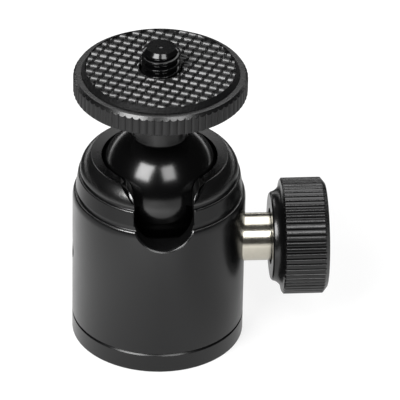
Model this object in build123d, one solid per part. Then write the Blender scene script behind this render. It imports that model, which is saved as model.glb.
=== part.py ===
from build123d import *
import math
import os

# Small ball head for a tripod: a 28 mm housing with a drop slot, a 20 mm ball on a
# short neck, a round camera platform and one clamping knob.
# +Z is up, the origin is the centre of the face that rests on the tripod, the drop
# slot opens towards -Y and the knob points along +X.  All sizes are millimetres.

os.makedirs("parts", exist_ok=True)

# ---- housing -------------------------------------------------------------------
BODY_R = 14.0            # outside radius of the housing and of its base cap
CAP_H = 3.4              # height of the base cap's flange
WALL_TOP = (13.73, 26.5)      # rounded upper edge of the straight wall (radius, height)
BAND_FOOT = (13.46, 27.3)     # tapered band between the two turned grooves
BAND_TOP = (13.07, 29.85)
CROWN_FOOT = (12.82, 30.5)    # rounded crown above the upper groove
CROWN_MIDDLE = (12.25, 31.95)
CROWN_TOP = (11.0, 33.1)      # outer edge of the flat ring round the ball's mouth
WALL_ROUND_Z = 25.2           # the straight wall starts to round off here
TOP_Z = CROWN_TOP[1]
BORE_R = 11.3            # bore that the pressure cup slides in
MOUTH_R = 9.3            # mouth that holds the ball down
GROOVE_DEPTH = 0.45      # depth of both grooves below their lower edge
EDGE = 0.25              # small broken edge on turned corners

# ---- ball, neck and drop slot ----------------------------------------------------
BALL_R = 10.0
BALL_Z = 28.15           # height of the ball's centre
NECK_R = 4.4
LEDGE_Z = 37.0           # flat turned on the ball round the foot of the neck
NECK_TOP_Z = 45.1
SLOT_R = 4.75            # half the width of the slot, and the radius of its bottom
SLOT_FLARE_R = 2.0       # rounding where the slot meets the flat ring
SLOT_BEVEL = 0.4         # bevel round the outside edge of the slot, below the crown
FIT = 0.03               # working gap between a ball face and its seat
SEAT_RING_ZS = (28.5, 31.0)   # nylon ring under the lip
LIP_R = 10.2             # sphere turned under the lip, clear of the ball

# ---- pressure cup, liner and springs ----------------------------------------------
CUP_R = 11.22
CUP_BOTTOM_Z = 10.55
CUP_TOP_Z = 23.1         # stays under the neck when it lies in the slot
LINER_T = 0.97           # thickness of the nylon liner between ball and cup
LINER_HALF_ANGLE = 42.0
GREASE_HOLE_R = 1.5
SPRING_R = 6.25          # disc spring 12.5 x 6.2 x 0.7
SPRING_HOLE_R = 3.1
SPRING_T = 0.7
SPRING_RISE = 0.3
CAP_TOP_Z = 8.5          # face of the base cap that the springs stand on

# ---- clamping screw and knob -------------------------------------------------------
CLAMP_Z = 16.7           # height of the knob's axis
BUSH_R = 3.9
BUSH_XS = (11.6, 22.5)
SCREW_R = 2.95           # M6 screw, drawn at its crests
BUSH_BORE_R = 3.0
TIP_CONE = 2.0 / 3.0     # rise of the thrust cone's flank over its run
TIP_NOSE_X = 7.9
TIP_NOSE_R = 0.9
TIP_R = 2.7
WEDGE_GAP = 0.35         # how much wider the cup's recess is than the thrust cone
WEDGE_DROP = 0.3         # how much lower it sits, so that only its upper flank bears
KNOB_R = 9.48
KNOB_FACE_X = 18.4       # face of the knob's collar
KNOB_RIB_XS = (20.3, 26.5)
KNOB_END_X = 27.27
KNOB_COLLAR_R = 7.25
KNOB_BORE_R = 4.6        # counterbore that runs over the bush
KNOB_WEB_XS = (23.4, 25.0)
KNOB_RIBS = 60
KNOB_RIB_DEPTH = 0.32
KNOB_CAP_R = 6.0
HEX_AF = 4.8             # hexagon that drives the screw from the knob

# ---- guide screw opposite the knob ---------------------------------------------------
GUIDE_Z = 15.45
GUIDE_R = 1.6
GUIDE_PIN_R = 1.0

# ---- platform, pad and camera stud ----------------------------------------------------
PLATFORM_R = 13.95
PLATFORM_TOP_Z = 48.4
PLATFORM_RIBS = 72
PLATFORM_RIB_DEPTH = 0.26
PLATFORM_BEVEL = (0.42, 0.63)    # width and height of the bevel on its upper edge
PAD_R = 12.9
PAD_TOP_R = 12.2
PAD_BED_Z = 47.8         # floor of the shallow recess that the pad is bonded in
PAD_TOP_Z = 49.3
PAD_HOLE_R = 3.9
WEAVE_PITCHES = (1.646, 1.721)   # spacing of the two sets of channels moulded in the pad
WEAVE_TURNS = (-28.8, 63.0)      # directions in which they repeat, from +X
WEAVE_SHIFTS = (0.5, 0.95)       # place of one channel of each set, as a share of its spacing
WEAVE_WIDTHS = (0.6, 0.3)
WEAVE_DEPTHS = (0.35, 0.18)
WEAVE_RS = (4.2, 11.95)          # the channels stay between these radii
STUD_R = 3.175           # 1/4"-20 thread, drawn at its crests
STUD_TOP_Z = 53.15
STUD_NECK_R = 2.85       # undercut where the thread ends, level with the pad
STUD_NECK_ZS = (48.6, 49.3)
STUD_SHANK_R = 2.5
STUD_FLANGE_AF = 8.0
STUD_FLANGE_ZS = (46.4, 47.7)

# ---- tripod thread ----------------------------------------------------------------------
BUSHING_R = 4.7625       # 3/8"-16 outside
TRIPOD_BORE_R = 2.55     # 1/4"-20 thread at its crests
BUSHING_ZS = (0.3, 7.0)
SPANNER_HOLE_R = 1.0
SPANNER_PITCH_R = 9.5


# ---- helpers ------------------------------------------------------------------------------
def turned(profile):
    """A profile of (radius, height) edges turned about the Z axis."""
    return revolve(make_face(profile), Axis.Z)


def turned_points(*points):
    """A straight-sided section in (radius, height) turned about the Z axis."""
    return turned(Plane.XZ * Polyline(*points, close=True))


def turned_on_clamp_axis(*points):
    """A straight-sided section in (distance along X, radius) turned about the knob's axis."""
    section = Plane.XZ * Polyline(*points, close=True)
    return Pos(0, 0, CLAMP_Z) * revolve(make_face(section), Axis.X)


def rod(radius, x_from, x_to, height):
    """A round bar along X at the given height."""
    bar = Rot(0, 90, 0) * Cylinder(radius, x_to - x_from)
    return Pos((x_from + x_to) / 2, 0, height) * bar


def ball_arc(radius, z_from, z_to):
    """An arc about the ball's centre in the XZ plane, between two heights."""
    def at(z):
        return (math.sqrt(radius**2 - (z - BALL_Z)**2), z)
    return ThreePointArc(at(z_from), at((z_from + z_to) / 2), at(z_to))


def reeded_outline(radius, depth, count):
    """A closed outline of equal flat-topped ribs that meet in narrow V grooves."""
    step = 2 * math.pi / count
    crest_share = 0.25
    corners = []
    for k in range(count):
        for turn, r in ((-0.5, radius - depth), (-crest_share, radius), (crest_share, radius)):
            angle = (k + turn) * step
            corners.append((r * math.cos(angle), r * math.sin(angle)))
    return make_face(Polyline(*corners, close=True))


# ---- housing and what is fixed in it ----------------------------------------------------
def slot_outline(flare):
    """The drop slot seen from the front: round bottom, straight sides, rounded top corners."""
    bottom = (0, BALL_Z - SLOT_R)
    left = (-SLOT_R, BALL_Z)
    right = (SLOT_R, BALL_Z)
    over = TOP_Z + 1
    wide = SLOT_R + flare
    edges = [ThreePointArc(left, bottom, right), Line(right, (SLOT_R, TOP_Z - flare))]
    edges += [RadiusArc((SLOT_R, TOP_Z - flare), (wide, TOP_Z), flare), Line((wide, TOP_Z), (wide, over))]
    edges += [Line((wide, over), (-wide, over)), Line((-wide, over), (-wide, TOP_Z))]
    edges += [RadiusArc((-wide, TOP_Z), (-SLOT_R, TOP_Z - flare), flare)]
    edges += [Line((-SLOT_R, TOP_Z - flare), left)]
    return make_face(edges)


def slot_cutter():
    """The slot's outline carried through the front wall only."""
    outline = Plane.XZ * slot_outline(SLOT_FLARE_R)
    return extrude(outline, BODY_R + 1) - extrude(outline, MOUTH_R / 2)


def groove(lower_edge, upper_edge):
    """A turned groove between two edges of the skin, square below and above."""
    floor_r = lower_edge[0] - GROOVE_DEPTH
    out_r = BODY_R + 1
    low, high = lower_edge[1], upper_edge[1]
    return turned_points((floor_r, low), (floor_r, high), (out_r, high), (out_r, low))


def housing_blank():
    """The turned housing: straight wall, tapered band, crown, flat ring, lip over the ball."""
    lip_z = BALL_Z + math.sqrt(LIP_R**2 - MOUTH_R**2)
    seat_top = SEAT_RING_ZS[1]
    lip_foot_r = math.sqrt(LIP_R**2 - (seat_top - BALL_Z)**2)
    edge = 0.1
    wall_end = (BODY_R, WALL_ROUND_Z)
    profile = [
        Polyline((lip_foot_r, seat_top), (BORE_R, seat_top), (BORE_R, CAP_H),
                 (BODY_R - edge, CAP_H), (BODY_R, CAP_H + edge), wall_end),
        TangentArc(wall_end, WALL_TOP, tangent=(0, 1)),
        Polyline(WALL_TOP, BAND_FOOT, BAND_TOP, CROWN_FOOT),
        ThreePointArc(CROWN_FOOT, CROWN_MIDDLE, CROWN_TOP),
        Polyline(CROWN_TOP, (MOUTH_R + edge, TOP_Z), (MOUTH_R, TOP_Z - edge), (MOUTH_R, lip_z)),
        ball_arc(LIP_R, lip_z, seat_top),
    ]
    return turned([Plane.XZ * piece for piece in profile])


def on_slot_rim(edge):
    """True for an edge where the slot breaks through the skin below the upper groove."""
    def at_slot_side(point):
        if point.Z < BALL_Z:
            return abs(math.hypot(point.X, point.Z - BALL_Z) - SLOT_R) < 0.01
        return abs(abs(point.X) - SLOT_R) < 0.01

    points = [edge.position_at(t) for t in (0.1, 0.5, 0.9)]
    below_crown = all(math.hypot(point.X, point.Y) > BAND_TOP[0] for point in points)
    return below_crown and all(point.Y < 0 and at_slot_side(point) for point in points)


def make_housing():
    blank = housing_blank() - slot_cutter()
    rim = blank.edges().filter_by(on_slot_rim)
    bevelled = chamfer(rim, SLOT_BEVEL)
    for lower_edge, upper_edge in ((WALL_TOP, BAND_FOOT), (BAND_TOP, CROWN_FOOT)):
        bevelled -= groove(lower_edge, upper_edge)
    bevelled -= rod(BUSH_R, MOUTH_R, BODY_R + 1, CLAMP_Z)
    return bevelled - rod(GUIDE_R, -BODY_R - 1, -MOUTH_R, GUIDE_Z)


def make_upper_seat_ring():
    """Nylon ring under the lip; it is cut by the slot like the housing."""
    low, high = SEAT_RING_ZS
    seat_r = BALL_R + FIT
    inner = [math.sqrt(seat_r**2 - (z - BALL_Z)**2) for z in (low, high)]
    profile = [Polyline((inner[0], low), (BORE_R, low), (BORE_R, high), (inner[1], high)),
               ball_arc(seat_r, high, low)]
    return turned([Plane.XZ * edge for edge in profile]) - slot_cutter()


def make_base_cap():
    """Flanged plug that closes the housing and carries the tripod thread."""
    chamfer_top = 0.35
    chamfer_foot = 0.1
    bore_top = 7.2
    boss_r = SPRING_HOLE_R - 0.1
    boss_z = CAP_TOP_Z + 1.5
    plug = turned_points(
        (0, bore_top), (BUSHING_R, bore_top), (BUSHING_R, 0), (BODY_R - chamfer_foot, 0),
        (BODY_R, chamfer_foot), (BODY_R, CAP_H - chamfer_top), (BODY_R - chamfer_top, CAP_H),
        (BORE_R, CAP_H), (BORE_R, CAP_TOP_Z), (boss_r, CAP_TOP_Z), (boss_r, boss_z), (0, boss_z),
    )
    for side in (-1, 1):
        plug -= Pos(side * SPANNER_PITCH_R, 0, 0.75) * Cylinder(SPANNER_HOLE_R, 1.5)
    return plug


def make_thread_bushing():
    """Reducing bushing from 3/8" to 1/4", with a screwdriver slot across its lower face."""
    low, high = BUSHING_ZS
    mouth = 0.4
    bush = turned_points(
        (TRIPOD_BORE_R + mouth, low), (BUSHING_R, low), (BUSHING_R, high),
        (TRIPOD_BORE_R, high), (TRIPOD_BORE_R, low + mouth),
    )
    return bush - Pos(0, 0, low) * Box(2 * BUSHING_R + 1, 1.2, 2.0)


def make_clamp_bush():
    """Plated sleeve fixed in the housing wall; the clamping screw runs in it."""
    start, end = BUSH_XS
    return turned_on_clamp_axis(
        (start, BUSH_BORE_R), (start, BUSH_R), (end - EDGE, BUSH_R),
        (end, BUSH_R - EDGE), (end, BUSH_BORE_R),
    )


def make_guide_screw():
    """Dog-point grub screw that keeps the cup from turning."""
    outer_x = -13.4
    step_x = -11.6
    socket = Pos(outer_x, 0, GUIDE_Z) * Rot(0, 90, 0) * extrude(RegularPolygon(0.9, 6), 1.1)
    grub = rod(GUIDE_R, outer_x, step_x, GUIDE_Z) + rod(GUIDE_PIN_R, step_x, -9.9, GUIDE_Z)
    return grub - socket


def disc_spring(low_z, upside_down):
    """One conical spring washer; upside down, its wide edge is at the top."""
    wide = low_z + (SPRING_RISE if upside_down else 0)
    narrow = low_z + (0 if upside_down else SPRING_RISE)
    return turned_points(
        (SPRING_HOLE_R, narrow), (SPRING_R, wide), (SPRING_R, wide + SPRING_T),
        (SPRING_HOLE_R, narrow + SPRING_T),
    )


def make_disc_springs():
    """Two disc springs, set edge to edge so that they flex towards each other."""
    each = SPRING_T + SPRING_RISE
    gap = 0.02
    return Compound([disc_spring(CAP_TOP_Z, False), disc_spring(CAP_TOP_Z + each + gap, True)])


# ---- what moves under the ball ---------------------------------------------------------------
def make_pressure_cup():
    """Piston with a spherical seat; the thrust cone wedges under the flank of its recess."""
    seat_r = BALL_R + LINER_T + 2 * FIT
    seat_edge_r = math.sqrt(seat_r**2 - (CUP_TOP_Z - BALL_Z)**2)
    seat_low_z = BALL_Z - math.sqrt(seat_r**2 - GREASE_HOLE_R**2)
    pocket_r = 3.6
    pocket_z = 12.0
    profile = [
        Polyline((GREASE_HOLE_R, seat_low_z), (GREASE_HOLE_R, pocket_z), (pocket_r, pocket_z),
                 (pocket_r, CUP_BOTTOM_Z), (CUP_R - EDGE, CUP_BOTTOM_Z), (CUP_R, CUP_BOTTOM_Z + EDGE),
                 (CUP_R, CUP_TOP_Z), (seat_edge_r, CUP_TOP_Z)),
        cup_seat_arc(seat_r, seat_edge_r, seat_low_z),
    ]
    cup = turned([Plane.XZ * edge for edge in profile])
    return cup - wedge_recess() - guide_keyway()


def cup_seat_arc(seat_r, edge_r, low_z):
    """The cup's seat below the ball, from its edge down to the grease hole."""
    middle_angle = math.radians(30)
    middle = (seat_r * math.sin(middle_angle), BALL_Z - seat_r * math.cos(middle_angle))
    return ThreePointArc((edge_r, CUP_TOP_Z), middle, (GREASE_HOLE_R, low_z))


def wedge_recess():
    """Conical recess for the thrust cone, a little wide and a little low, open to the side."""
    end_x = TIP_NOSE_X - 0.4
    mouth_x = CUP_R + 1
    nose_r = TIP_NOSE_R + WEDGE_GAP
    mouth_r = nose_r + (mouth_x - TIP_NOSE_X) * TIP_CONE
    cone = turned_on_clamp_axis(
        (end_x, 0), (end_x, nose_r), (TIP_NOSE_X, nose_r), (mouth_x, mouth_r), (mouth_x, 0),
    )
    return Pos(0, 0, -WEDGE_DROP) * cone


def guide_keyway():
    """Upright slot that slides on the guide screw's pin."""
    lift = 0.3
    width = 2 * (GUIDE_PIN_R + 0.05)
    mouth = Plane.YZ * Pos(0, GUIDE_Z + lift / 2) * SlotOverall(width + lift + 0.3, width, rotation=90)
    return Pos(-CUP_R - 1, 0, 0) * extrude(mouth, 3.0)


def make_ball_liner():
    """Thin nylon bowl between the ball and the cup."""
    inner_r = BALL_R + FIT
    outer_r = inner_r + LINER_T - FIT

    def at(radius, degrees):
        angle = math.radians(degrees)
        return (radius * math.sin(angle), BALL_Z - radius * math.cos(angle))

    start = math.degrees(math.asin(GREASE_HOLE_R / inner_r))
    middle = (start + LINER_HALF_ANGLE) / 2
    profile = [
        ThreePointArc(at(inner_r, start), at(inner_r, middle), at(inner_r, LINER_HALF_ANGLE)),
        Line(at(inner_r, LINER_HALF_ANGLE), at(outer_r, LINER_HALF_ANGLE)),
        ThreePointArc(at(outer_r, LINER_HALF_ANGLE), at(outer_r, middle), at(outer_r, start)),
        Line(at(outer_r, start), at(inner_r, start)),
    ]
    return turned([Plane.XZ * edge for edge in profile])


# ---- ball and camera platform -----------------------------------------------------------------
def make_ball():
    """Ball and neck in one turned piece, with a flat where they meet and a tapped neck."""
    ledge_r = math.sqrt(BALL_R**2 - (LEDGE_Z - BALL_Z)**2)
    shank_hole_r = STUD_SHANK_R + 0.05
    hole_z = 39.4
    lowest = (0, BALL_Z - BALL_R)
    widest = (BALL_R, BALL_Z)
    half_way = math.sqrt(0.5)
    profile = [
        ThreePointArc(lowest, (BALL_R * half_way, BALL_Z - BALL_R * half_way), widest),
        ball_arc(BALL_R, BALL_Z, LEDGE_Z),
        Polyline((ledge_r, LEDGE_Z), (NECK_R, LEDGE_Z), (NECK_R, NECK_TOP_Z), (shank_hole_r, NECK_TOP_Z),
                 (shank_hole_r, hole_z), (0, hole_z), lowest),
    ]
    return turned([Plane.XZ * edge for edge in profile])


def make_platform():
    """Round platform with a reeded rim, a bevelled upper edge and a shallow bed for the pad."""
    bevel_in, bevel_down = PLATFORM_BEVEL
    flange_r = STUD_FLANGE_AF / math.sqrt(3) + 0.08
    disc = turned_points(
        (STUD_SHANK_R, NECK_TOP_Z), (PLATFORM_R, NECK_TOP_Z), (PLATFORM_R, PLATFORM_TOP_Z - bevel_down),
        (PLATFORM_R - bevel_in, PLATFORM_TOP_Z), (PAD_R, PLATFORM_TOP_Z), (PAD_R, PAD_BED_Z),
        (flange_r, PAD_BED_Z), (flange_r, STUD_FLANGE_ZS[0]), (STUD_SHANK_R, STUD_FLANGE_ZS[0]),
    )
    outline = reeded_outline(PLATFORM_R, PLATFORM_RIB_DEPTH, PLATFORM_RIBS)
    reeded = Pos(0, 0, NECK_TOP_Z - 1) * extrude(outline, PLATFORM_TOP_Z - NECK_TOP_Z + 2)
    return disc & reeded


def pad_channels(pitch, turn, shift, width, depth):
    """One set of straight channels across the pad's top, clear of its outer edge and its hole."""
    count = math.ceil(PAD_R / pitch)
    bars = [Pos((k + shift) * pitch, 0) * Rectangle(width, 2 * PAD_R) for k in range(-count, count)]
    inner_r, outer_r = WEAVE_RS
    pattern = (Rot(0, 0, turn) * (Sketch() + bars)) & (Circle(outer_r) - Circle(inner_r))
    return Pos(0, 0, PAD_TOP_Z - depth) * extrude(pattern, depth + 1)


def make_pad():
    """Rubber pad in the platform's bed, standing proud with a sloped edge; channels make its weave."""
    pad = turned_points(
        (PAD_HOLE_R, PAD_BED_Z), (PAD_R, PAD_BED_Z), (PAD_R, PLATFORM_TOP_Z + 0.05),
        (PAD_TOP_R, PAD_TOP_Z), (PAD_HOLE_R, PAD_TOP_Z),
    )
    for channels in zip(WEAVE_PITCHES, WEAVE_TURNS, WEAVE_SHIFTS, WEAVE_WIDTHS, WEAVE_DEPTHS):
        pad -= pad_channels(*channels)
    return pad


def make_camera_stud():
    """1/4" stud with a hexagonal flange under the pad and a shank down into the neck."""
    point = 0.8
    low, high = STUD_FLANGE_ZS
    neck_low, neck_high = STUD_NECK_ZS
    stud = turned_points(
        (0, 40.0), (STUD_SHANK_R - 0.3, 40.0), (STUD_SHANK_R, 40.3), (STUD_SHANK_R, high),
        (STUD_R, high), (STUD_R, neck_low), (STUD_NECK_R, neck_low), (STUD_NECK_R, neck_high),
        (STUD_R, neck_high), (STUD_R, STUD_TOP_Z - point), (STUD_R - point, STUD_TOP_Z), (0, STUD_TOP_Z),
    )
    flange = Pos(0, 0, low) * extrude(RegularPolygon(STUD_FLANGE_AF / 2, 6, major_radius=False), high - low)
    return stud + flange


# ---- clamping screw and knob --------------------------------------------------------------------
def make_thrust_tip():
    """Brass cone on a swivel stem, so that it slides under the cup without turning."""
    shoulder_x = TIP_NOSE_X + (TIP_R - TIP_NOSE_R) / TIP_CONE
    back_x = 11.8
    stem_r = 1.5
    groove_r = 1.2
    return turned_on_clamp_axis(
        (TIP_NOSE_X, 0), (TIP_NOSE_X, TIP_NOSE_R), (shoulder_x, TIP_R), (back_x, TIP_R), (back_x, stem_r),
        (12.7, stem_r), (12.7, groove_r), (13.1, groove_r), (13.1, stem_r), (13.6, stem_r), (13.6, 0),
    )


def make_tip_ring():
    """Snap ring in the stem's groove; it keeps the cone on the screw."""
    ring = turned_on_clamp_axis((12.75, 1.2), (12.75, 1.54), (13.05, 1.54), (13.05, 1.2))
    gap = Pos(12.9, 0, CLAMP_Z - 1.3) * Box(0.5, 0.5, 1.0)
    return ring - gap


def make_clamp_screw():
    """M6 screw: bored in front for the cone's stem, hexagonal behind for the knob."""
    front_x = 11.9
    hex_x = KNOB_WEB_XS[0]
    end_x = KNOB_WEB_XS[1] - 0.1
    body = turned_on_clamp_axis((front_x, 0), (front_x, SCREW_R), (hex_x, SCREW_R), (hex_x, 0))
    drive = Pos(hex_x, 0, CLAMP_Z) * Rot(0, 90, 0) * extrude(hexagon(), end_x - hex_x)
    stem_hole = rod(1.6, front_x, 13.9, CLAMP_Z)
    end_hole = rod(1.5, 18.0, end_x, CLAMP_Z)
    return body + drive - stem_hole - end_hole


def hexagon():
    return RegularPolygon(HEX_AF / 2, 6, major_radius=False)


def make_knob():
    """Ribbed knob: collar with a counterbore, cove up to the ribs, bevelled outer edge."""
    rib_start, rib_end = KNOB_RIB_XS
    collar = (KNOB_FACE_X + EDGE, KNOB_COLLAR_R)
    cove_end = (rib_start - 0.25, KNOB_R - KNOB_RIB_DEPTH - 0.02)
    end_r = KNOB_R - 0.95
    profile = [
        Polyline((KNOB_WEB_XS[0], 0), (KNOB_WEB_XS[0], KNOB_BORE_R), (KNOB_FACE_X, KNOB_BORE_R),
                 (KNOB_FACE_X, KNOB_COLLAR_R - EDGE), collar),
        ThreePointArc(collar, (19.6, 7.75), cove_end),
        Polyline(cove_end, (rib_start, KNOB_R), (rib_end, KNOB_R), (KNOB_END_X, end_r),
                 (KNOB_END_X, KNOB_CAP_R), (KNOB_WEB_XS[1], KNOB_CAP_R),
                 (KNOB_WEB_XS[1], 0), (KNOB_WEB_XS[0], 0)),
    ]
    section = make_face([Plane.XZ * edge for edge in profile])
    turned_knob = Pos(0, 0, CLAMP_Z) * revolve(section, Axis.X)
    outline = reeded_outline(KNOB_R, KNOB_RIB_DEPTH, KNOB_RIBS)
    length = KNOB_END_X - KNOB_FACE_X + 2
    reeded = Pos(KNOB_FACE_X - 1, 0, CLAMP_Z) * Rot(0, 90, 0) * extrude(outline, length)
    drive_hole = Pos(KNOB_WEB_XS[0] - 0.5, 0, CLAMP_Z) * Rot(0, 90, 0) * extrude(hexagon(), 3)
    return (turned_knob & reeded) - drive_hole


def make_knob_screw():
    """Pan-head screw that holds the knob on the clamping screw's hexagon."""
    head_x = KNOB_WEB_XS[1]
    head_end = head_x + 1.2
    shank = turned_on_clamp_axis((19.0, 0), (19.0, 1.5), (head_x, 1.5), (head_x, 3.3),
                                 (head_end - 0.4, 3.3), (head_end, 2.7), (head_end, 0))
    socket = Pos(head_end - 0.8, 0, CLAMP_Z) * Rot(0, 90, 0) * extrude(RegularPolygon(1.0, 6), 1)
    return shank - socket


def make_knob_cap():
    """Plain disc pressed into the knob's outer face."""
    start = KNOB_END_X - 0.9
    return turned_on_clamp_axis((start, 0), (start, KNOB_CAP_R), (KNOB_END_X - 0.15, KNOB_CAP_R),
                                (KNOB_END_X, KNOB_CAP_R - 0.15), (KNOB_END_X, 0))


SUB_PARTS = {
    "housing": make_housing,
    "upper_seat_ring": make_upper_seat_ring,
    "base_cap": make_base_cap,
    "thread_bushing": make_thread_bushing,
    "clamp_bush": make_clamp_bush,
    "guide_screw": make_guide_screw,
    "disc_springs": make_disc_springs,
    "pressure_cup": make_pressure_cup,
    "ball_liner": make_ball_liner,
    "ball": make_ball,
    "platform": make_platform,
    "pad": make_pad,
    "camera_stud": make_camera_stud,
    "thrust_tip": make_thrust_tip,
    "tip_ring": make_tip_ring,
    "clamp_screw": make_clamp_screw,
    "knob": make_knob,
    "knob_screw": make_knob_screw,
    "knob_cap": make_knob_cap,
}

for node, make in SUB_PARTS.items():
    export_step(make(), f"parts/{node}.step")
    print("wrote", node)
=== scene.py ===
# %% [markdown]
# # A small tripod ball head
# A ball head holds a camera on a tripod.  A ball sits in a round black housing, a short neck joins it to
# a ribbed platform with a rubber pad, and one knob at the side presses the ball tight.
# The sizes and the moving parts come from a finished CAD frame, which is loaded first.  Each piece that
# can be seen is then made again as a fine mesh from a few numpy formulas, because a CAD mesh shows its
# flat facets on gloss.  Pieces hidden inside keep their CAD mesh and get a better finish.

# %% Load the fixed frame
import math

import bmesh
import bpy
import numpy as np
from mathutils import Matrix, Vector


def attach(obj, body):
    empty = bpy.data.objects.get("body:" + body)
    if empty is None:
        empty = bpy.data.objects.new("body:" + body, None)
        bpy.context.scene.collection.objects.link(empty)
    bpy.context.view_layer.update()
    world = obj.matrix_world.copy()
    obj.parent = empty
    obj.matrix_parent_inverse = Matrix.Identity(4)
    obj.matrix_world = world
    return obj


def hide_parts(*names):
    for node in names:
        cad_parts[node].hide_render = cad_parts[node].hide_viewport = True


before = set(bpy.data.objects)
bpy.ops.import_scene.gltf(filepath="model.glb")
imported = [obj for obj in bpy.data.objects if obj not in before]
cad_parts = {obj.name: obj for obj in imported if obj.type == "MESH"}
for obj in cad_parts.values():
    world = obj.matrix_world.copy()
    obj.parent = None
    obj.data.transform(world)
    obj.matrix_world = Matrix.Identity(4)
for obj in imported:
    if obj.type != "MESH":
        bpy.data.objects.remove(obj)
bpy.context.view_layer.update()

MM = 0.001
print("CAD nodes:", len(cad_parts))

# %% [markdown]
# ## The camera
# A product is usually shot from far away with a long lens, so that its circles stay round and its
# upright lines stay upright.  The camera is placed by the direction it looks from, its distance and a
# slight roll, which is easier to reason about than three Euler angles.

# %% Place the camera
LOOK_FROM = math.radians(-4.589)
RISE = math.radians(32.886)
ROLL = math.radians(1.104)
DISTANCE = 0.77204
AIM = Vector((0.006664, 0.0, 0.02401))
LENS, SENSOR = 428.83, 36.0

back = Vector((math.sin(LOOK_FROM) * math.cos(RISE), -math.cos(LOOK_FROM) * math.cos(RISE), math.sin(RISE)))
right = Vector((math.cos(LOOK_FROM), math.sin(LOOK_FROM), 0.0))
up = back.cross(right)
turned_right = math.cos(ROLL) * right + math.sin(ROLL) * up
turned_up = math.cos(ROLL) * up - math.sin(ROLL) * right

camera_data = bpy.data.cameras.new("studio_camera")
camera_data.sensor_fit = "HORIZONTAL"
camera_data.sensor_width = SENSOR
camera_data.lens = LENS
camera_data.clip_start, camera_data.clip_end = 0.05, 100.0
camera = bpy.data.objects.new("studio_camera", camera_data)
bpy.context.scene.collection.objects.link(camera)
turn = Matrix((turned_right, turned_up, back)).transposed().to_4x4()
camera.matrix_world = Matrix.Translation(AIM + back * DISTANCE) @ turn
bpy.context.scene.camera = camera
print("camera", round((AIM + back * DISTANCE).length, 3), "m from the origin, lens", LENS, "mm")

# %% [markdown]
# ## Helpers for node trees
# A finish in Blender is a small graph of nodes.  A few short helpers keep the graphs readable.  The first
# makes a node and fills its sockets, the others are arithmetic: they take sockets or numbers and return
# the socket that carries the result.

# %% Node helpers
def add_node(tree, kind, sockets=None, **settings):
    """A new node of that kind, with its settings and its unlinked sockets filled in."""
    made = tree.nodes.new(kind)
    for name, value in settings.items():
        setattr(made, name, value)
    for name, value in (sockets or {}).items():
        made.inputs[name].default_value = value
    return made


def calculate(tree, operation, first, *more):
    """A Math node; each input is a number or a socket.  With more than two inputs the operation is done
    again and again, from the left."""
    result = first
    for operand in more or (None,):
        made = add_node(tree, "ShaderNodeMath", operation=operation)
        for index, value in enumerate((result, operand)):
            if isinstance(value, bpy.types.NodeSocket):
                tree.links.new(value, made.inputs[index])
            elif value is not None:
                made.inputs[index].default_value = value
        result = made.outputs[0]
    return result


def ramp(tree, value, span, ends):
    """The first of ends before the span, the second after it, and a straight slope between them."""
    made = add_node(tree, "ShaderNodeMapRange", {
        "From Min": span[0], "From Max": span[1], "To Min": ends[0], "To Max": ends[1]})
    tree.links.new(value, made.inputs["Value"])
    return made.outputs[0]


def position(tree, kind):
    """The x, y and z of a texture coordinate, and the coordinate itself."""
    where = add_node(tree, "ShaderNodeTexCoord").outputs[kind]
    apart = add_node(tree, "ShaderNodeSeparateXYZ")
    tree.links.new(where, apart.inputs[0])
    return *apart.outputs, where


# %% [markdown]
# ## The studio
# Black gloss has hardly any colour of its own: what shows is the room.  The upright walls mirror the
# pale floor at their feet, which gives them their grey.  On gloss the floor is a bright pool that fades
# within a hand's width, so that faces which look further out turn black.  Far behind, a bright line
# along the horizon draws the thin arcs at both sides of the ball.  Two soft boxes stand in front, one to
# the left and one to the right, and make the pair of windows on the ball.  A third hangs behind and
# above, for the flat faces.  The rest of the room is dark.

# %% The floor's sheet
FLOOR_SIZE, FLOOR_Z = 60.0, -2e-5
half = FLOOR_SIZE / 2
floor_corners = [(x, y, FLOOR_Z) for x, y in ((-half, -half), (half, -half), (half, half), (-half, half))]
floor_mesh = bpy.data.meshes.new("studio_floor")
floor_mesh.from_pydata(floor_corners, [], [(0, 1, 2, 3)])
studio_floor = bpy.data.objects.new("studio_floor", floor_mesh)
bpy.context.scene.collection.objects.link(studio_floor)
floor_finish = bpy.data.materials.new("pale_floor")
floor_finish.use_nodes = True
tree = floor_finish.node_tree
tree.nodes.remove(tree.nodes["Principled BSDF"])
print("floor", FLOOR_SIZE, "m wide")

# %% [markdown]
# The pool is light painted into the floor's glow, and only gloss sees it.  Its brightness is a product of
# ramps over the floor, in metres from the housing's axis.  It is strongest just left of the housing and in
# front of it, weaker on the right as painted shade where the knob stands, and it thins out all round.
# Behind the housing, and beyond the pool's edge, gloss sees a dark floor up to the skyline.

# %% How bright gloss sees the floor
FLOOR_IN_GLOSS = 0.53
SKYLINE, DARK_FLOOR = 2.4, 0.03
POOL_EDGE, SHADE_BEHIND, SKYLINE_STARTS = (0.16, 0.32), (0.045, 0.075), (0.6, 1.2)

x, y, _, on_floor = position(tree, "Object")
length = add_node(tree, "ShaderNodeVectorMath", operation="LENGTH")
tree.links.new(on_floor, length.inputs[0])
from_axis = length.outputs["Value"]
# painted light: in gloss the floor's glow is brighter left of and in front of the housing
left = calculate(tree, "MINIMUM", ramp(tree, x, (-0.065, -0.038), (0.85, 1.6)),
                 ramp(tree, x, (-0.03, 0.0), (1.6, 1.0)))
front = ramp(tree, y, (-0.06, -0.04), (2.0, 1.0))
far = ramp(tree, from_axis, (0.062, 0.085), (1.0, 0.45))
# painted shade: the glow in gloss is dimmer right of the housing, where the knob stands
knob_shade_on_pool = ramp(tree, x, (0.01, 0.025), (1.0, 0.58))
pool = calculate(tree, "MULTIPLY", left, front, far, knob_shade_on_pool, FLOOR_IN_GLOSS)
beyond_pool = calculate(tree, "MAXIMUM", ramp(tree, from_axis, POOL_EDGE, (0.0, 1.0)),
                        ramp(tree, y, SHADE_BEHIND, (0.0, 1.0)))
horizon = ramp(tree, y, SKYLINE_STARTS, (DARK_FLOOR, SKYLINE))
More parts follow.
